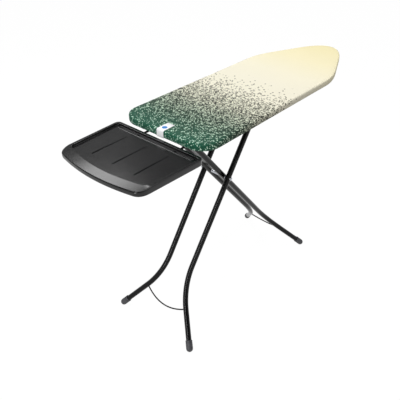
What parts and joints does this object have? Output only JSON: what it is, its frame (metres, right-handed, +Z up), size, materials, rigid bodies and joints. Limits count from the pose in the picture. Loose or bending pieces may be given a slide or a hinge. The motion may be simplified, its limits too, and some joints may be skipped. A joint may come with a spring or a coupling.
{
  "type": "folding ironing board",
  "caption": "Full-size folding ironing board on crossed bent-tube legs, with a padded printed cover and a sliding tray for a steam-iron tank beyond its tail.",
  "frame": {"origin": "on the floor, under the middle of the object's box", "axes": "+X towards the nose of the board, +Y across it, +Z up"},
  "size_m": [1.604, 0.467, 1],
  "materials": {
    "cover": "printed cotton, green at the tail fading through dark specks to cream at the nose",
    "tape": "white woven tape",
    "felt": "undyed felt and foam",
    "enamel": "glossy black powder coat",
    "panel": "satin dark grey paint on expanded steel mesh",
    "zinc": "zinc plated",
    "tray": "fine grained black polypropylene",
    "foot": "dark grey moulded plastic",
    "nylon": "black moulded nylon"
  },
  "bodies": {
    "board": {"cover": "cover", "underlay_pad": "felt", "board_panel": "panel", "board_rim": "enamel", "cover_drawcord": "tape", "care_label": "tape", "hinge_axle": "zinc", "hinge_bracket_left": "zinc", "hinge_bracket_right": "zinc", "axle_clip_left": "zinc", "axle_clip_right": "zinc", "track_rail_left": "enamel", "track_rail_right": "enamel", "rod_guide_outer_left": "nylon", "rod_guide_outer_right": "nylon", "rod_guide_inner_left": "nylon", "rod_guide_inner_right": "nylon", "lever_bracket": "zinc", "lever_pin": "zinc", "lever_spring": "zinc"},
    "nose_legs": {"nose_leg_left": "enamel", "nose_leg_right": "enamel", "nose_foot_left": "foot", "nose_foot_right": "foot", "nose_brace_wire": "enamel", "hinge_tube": "enamel", "nose_leg_web": "enamel", "cross_pin": "zinc", "cross_sleeve": "zinc", "cross_nut_left": "zinc", "cross_nut_right": "zinc"},
    "tail_legs": {"tail_leg_left": "enamel", "tail_leg_right": "enamel", "tail_foot_left": "foot", "tail_foot_right": "foot", "tail_brace_wire": "enamel", "slide_tube": "enamel", "slide_bar": "zinc", "slide_roller_left": "nylon", "slide_roller_right": "nylon", "cross_washer_left": "zinc", "cross_washer_right": "zinc"},
    "tray": {"steam_tray": "tray", "tray_rod_left": "enamel", "tray_rod_right": "enamel", "rod_collar_left": "zinc", "rod_collar_right": "zinc", "tray_clip_left": "nylon", "tray_clip_right": "nylon"},
    "lever": {"height_lever": "zinc", "lever_grip": "nylon", "lock_rack": "zinc"}
  },
  "joints": [
    {"name": "leg_fold", "type": "hinge", "parent": "board", "child": "nose_legs", "pos_m": [-0.3827, 0, 0.956], "axis": [0, -1, 0], "range_deg": [0, 46.9]},
    {"name": "leg_cross", "type": "hinge", "parent": "nose_legs", "child": "tail_legs", "pos_m": [-0.12759, 0, 0.65308], "axis": [0, 1, 0], "range_deg": [0, 100]},
    {"name": "tray_slide", "type": "slide", "parent": "board", "child": "tray", "axis": [1, 0, 0], "range_m": [0, 0.045]},
    {"name": "lever_squeeze", "type": "hinge", "parent": "board", "child": "lever", "pos_m": [-0.037, 0.085, 0.9695], "axis": [-1, 0, 0], "range_deg": [0, 2.7], "stiffness_Nm_per_rad": 3, "springref_deg": -8.59, "deforming": ["lever_spring"]}
  ],
  "couplings": [
    {"joint": "leg_cross", "follows": "leg_fold", "ratio": 2.13}
  ]
}
